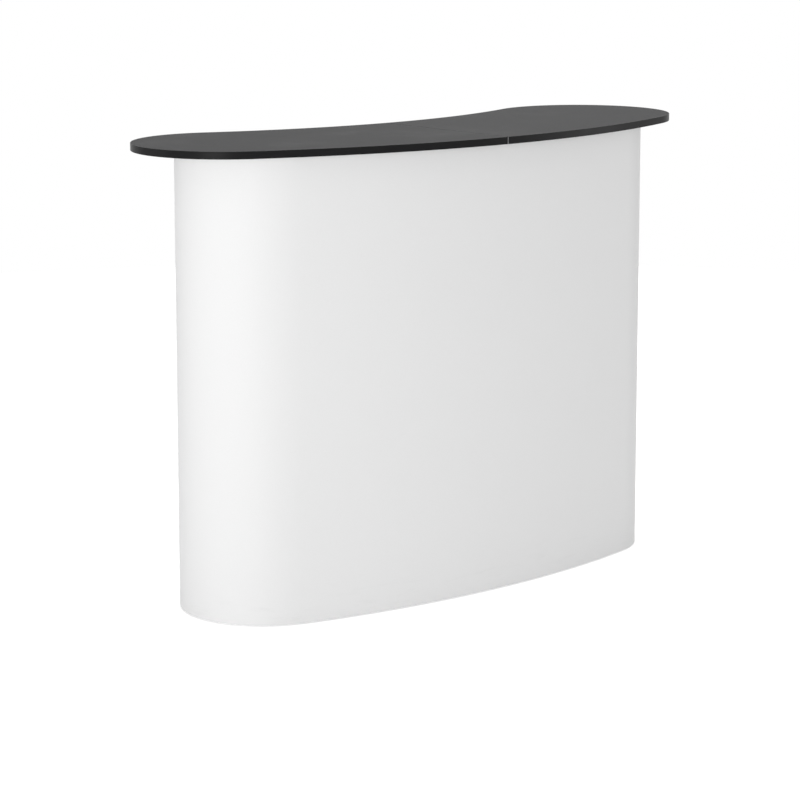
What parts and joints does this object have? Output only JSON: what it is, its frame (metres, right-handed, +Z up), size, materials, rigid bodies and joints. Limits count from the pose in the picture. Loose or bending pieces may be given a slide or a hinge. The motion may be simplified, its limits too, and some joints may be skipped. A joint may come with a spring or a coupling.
{
  "type": "exhibition counter",
  "caption": "Free-standing counter with a bean-shaped split worktop, a white wrap-around panel, lift-off shelves and side frames that fold in on crossed braces.",
  "frame": {"origin": "on the floor, under the middle of the worktop's length and depth", "axes": "+X along the counter's length, +Y to the open back where staff stand, customers at -Y, +Z up"},
  "size_m": [1.35, 0.48, 0.95],
  "materials": {
    "worktop_laminate": "black laminate on board, satin",
    "edge_band": "black edging, satin",
    "panel_sheet": "white sheet, low gloss",
    "stiffener_strip": "white strip",
    "grip_tape": "white grip tape",
    "anodised_tube": "satin anodised",
    "end_plug": "black moulded",
    "frame_moulding": "black moulded, fine texture",
    "panel_bar": "brushed flat bar",
    "seam_plate_metal": "plain plate",
    "fastener_steel": "zinc plated",
    "brace_bar": "satin flat bar",
    "shelf_board": "dark grey laminate on board",
    "nylon": "black nylon",
    "knob_moulding": "black moulded grip"
  },
  "bodies": {
    "centre_frame": {"centre_base_rung": "anodised_tube", "centre_front_bar": "panel_bar", "centre_front_post": "anodised_tube", "centre_hub": "frame_moulding", "centre_joints": "frame_moulding", "centre_mid_rung": "anodised_tube", "centre_post_plugs": "end_plug", "centre_rear_post": "anodised_tube", "centre_top_rung": "anodised_tube", "locating_pegs": "fastener_steel", "seam_plate": "seam_plate_metal", "seam_plate_screws": "fastener_steel", "shelf_pins": "fastener_steel", "wrap_panel": "panel_sheet", "wrap_stiffeners": "stiffener_strip", "wrap_tapes": "grip_tape"},
    "left_brace_a": {"left_brace_a": "brace_bar", "left_brace_a_rivets": "fastener_steel"},
    "left_brace_b": {"left_brace_b": "brace_bar", "left_brace_b_rivets": "fastener_steel"},
    "left_side_frame": {"left_front_post": "anodised_tube", "left_rear_post": "anodised_tube", "left_post_plugs": "end_plug", "left_joints": "frame_moulding", "left_hub": "frame_moulding", "left_top_rung": "anodised_tube", "left_mid_rung": "anodised_tube", "left_base_rung": "anodised_tube", "left_front_bar": "panel_bar", "left_rear_bar": "panel_bar"},
    "left_collar": {"left_collar": "frame_moulding"},
    "left_half_top": {"left_top_board": "worktop_laminate", "left_top_edge_band": "edge_band", "left_peg_cups": "nylon"},
    "left_mid_shelf": {"left_mid_shelf": "shelf_board"},
    "left_base_shelf": {"left_base_shelf": "shelf_board"},
    "right_brace_a": {"right_brace_a": "brace_bar", "right_brace_a_rivets": "fastener_steel"},
    "right_brace_b": {"right_brace_b": "brace_bar", "right_brace_b_rivets": "fastener_steel"},
    "right_side_frame": {"right_front_post": "anodised_tube", "right_rear_post": "anodised_tube", "right_post_plugs": "end_plug", "right_joints": "frame_moulding", "right_hub": "frame_moulding", "right_top_rung": "anodised_tube", "right_mid_rung": "anodised_tube", "right_base_rung": "anodised_tube", "right_front_bar": "panel_bar", "right_rear_bar": "panel_bar"},
    "right_collar": {"right_collar": "frame_moulding"},
    "right_half_top": {"right_top_board": "worktop_laminate", "right_top_edge_band": "edge_band", "right_peg_cups": "nylon"},
    "right_mid_shelf": {"right_mid_shelf": "shelf_board"},
    "right_base_shelf": {"right_base_shelf": "shelf_board"},
    "centre_collar": {"centre_collar": "frame_moulding"},
    "lock_knob": {"lock_knob": "knob_moulding"}
  },
  "joints": [
    {"name": "left_fold", "type": "hinge", "parent": "centre_frame", "child": "left_brace_a", "pos_m": [-0.02885, -0.16216, 0.88], "axis": [-0.103, -0.9947, 0], "range_deg": [0, 24.23]},
    {"name": "left_cross", "type": "hinge", "parent": "left_brace_a", "child": "left_brace_b", "pos_m": [-0.19165, -0.1453, 0.548], "axis": [-0.103, -0.9947, 0], "range_deg": [-48.46, 0]},
    {"name": "left_frame_pivot", "type": "hinge", "parent": "left_brace_b", "child": "left_side_frame", "pos_m": [-0.35445, -0.12845, 0.88], "axis": [-0.103, -0.9947, 0], "range_deg": [0, 24.23]},
    {"name": "left_collar_pivot", "type": "hinge", "parent": "left_brace_a", "child": "left_collar", "pos_m": [-0.35445, -0.12845, 0.216], "axis": [-0.103, -0.9947, 0], "range_deg": [-24.23, 0]},
    {"name": "centre_collar_pivot", "type": "hinge", "parent": "left_brace_b", "child": "centre_collar", "pos_m": [-0.02885, -0.16216, 0.216], "axis": [-0.103, -0.9947, 0], "range_deg": [0, 24.23]},
    {"name": "right_fold", "type": "hinge", "parent": "centre_frame", "child": "right_brace_a", "pos_m": [0.02885, -0.16216, 0.88], "axis": [-0.103, 0.9947, 0], "range_deg": [0, 24.23]},
    {"name": "right_cross", "type": "hinge", "parent": "right_brace_a", "child": "right_brace_b", "pos_m": [0.19165, -0.1453, 0.548], "axis": [-0.103, 0.9947, 0], "range_deg": [-48.46, 0]},
    {"name": "right_frame_pivot", "type": "hinge", "parent": "right_brace_b", "child": "right_side_frame", "pos_m": [0.35445, -0.12845, 0.88], "axis": [-0.103, 0.9947, 0], "range_deg": [0, 24.23]},
    {"name": "right_collar_pivot", "type": "hinge", "parent": "right_brace_a", "child": "right_collar", "pos_m": [0.35445, -0.12845, 0.216], "axis": [-0.103, 0.9947, 0], "range_deg": [-24.23, 0]},
    {"name": "lock_knob_turn", "type": "hinge", "parent": "centre_collar", "child": "lock_knob", "pos_m": [0, -0.14014, 0.216], "axis": [0, 1, 0], "range_deg": [0, 270]},
    {"name": "left_half_top_lift", "type": "slide", "parent": "centre_frame", "child": "left_half_top", "axis": [0, 0, 1], "range_m": [0, 0.2]},
    {"name": "left_mid_shelf_lift", "type": "slide", "parent": "centre_frame", "child": "left_mid_shelf", "axis": [0, 0, 1], "range_m": [0, 0.04]},
    {"name": "left_base_shelf_lift", "type": "slide", "parent": "centre_frame", "child": "left_base_shelf", "axis": [0, 0, 1], "range_m": [0, 0.04]},
    {"name": "right_half_top_lift", "type": "slide", "parent": "centre_frame", "child": "right_half_top", "axis": [0, 0, 1], "range_m": [0, 0.2]},
    {"name": "right_mid_shelf_lift", "type": "slide", "parent": "centre_frame", "child": "right_mid_shelf", "axis": [0, 0, 1], "range_m": [0, 0.04]},
    {"name": "right_base_shelf_lift", "type": "slide", "parent": "centre_frame", "child": "right_base_shelf", "axis": [0, 0, 1], "range_m": [0, 0.04]}
  ],
  "couplings": [
    {"joint": "left_cross", "follows": "left_fold", "ratio": -2},
    {"joint": "left_frame_pivot", "follows": "left_fold", "ratio": 1},
    {"joint": "left_collar_pivot", "follows": "left_fold", "ratio": -1},
    {"joint": "centre_collar_pivot", "follows": "left_fold", "ratio": 1},
    {"joint": "right_fold", "follows": "left_fold", "ratio": 1},
    {"joint": "right_cross", "follows": "left_fold", "ratio": -2},
    {"joint": "right_frame_pivot", "follows": "left_fold", "ratio": 1},
    {"joint": "right_collar_pivot", "follows": "left_fold", "ratio": -1}
  ]
}
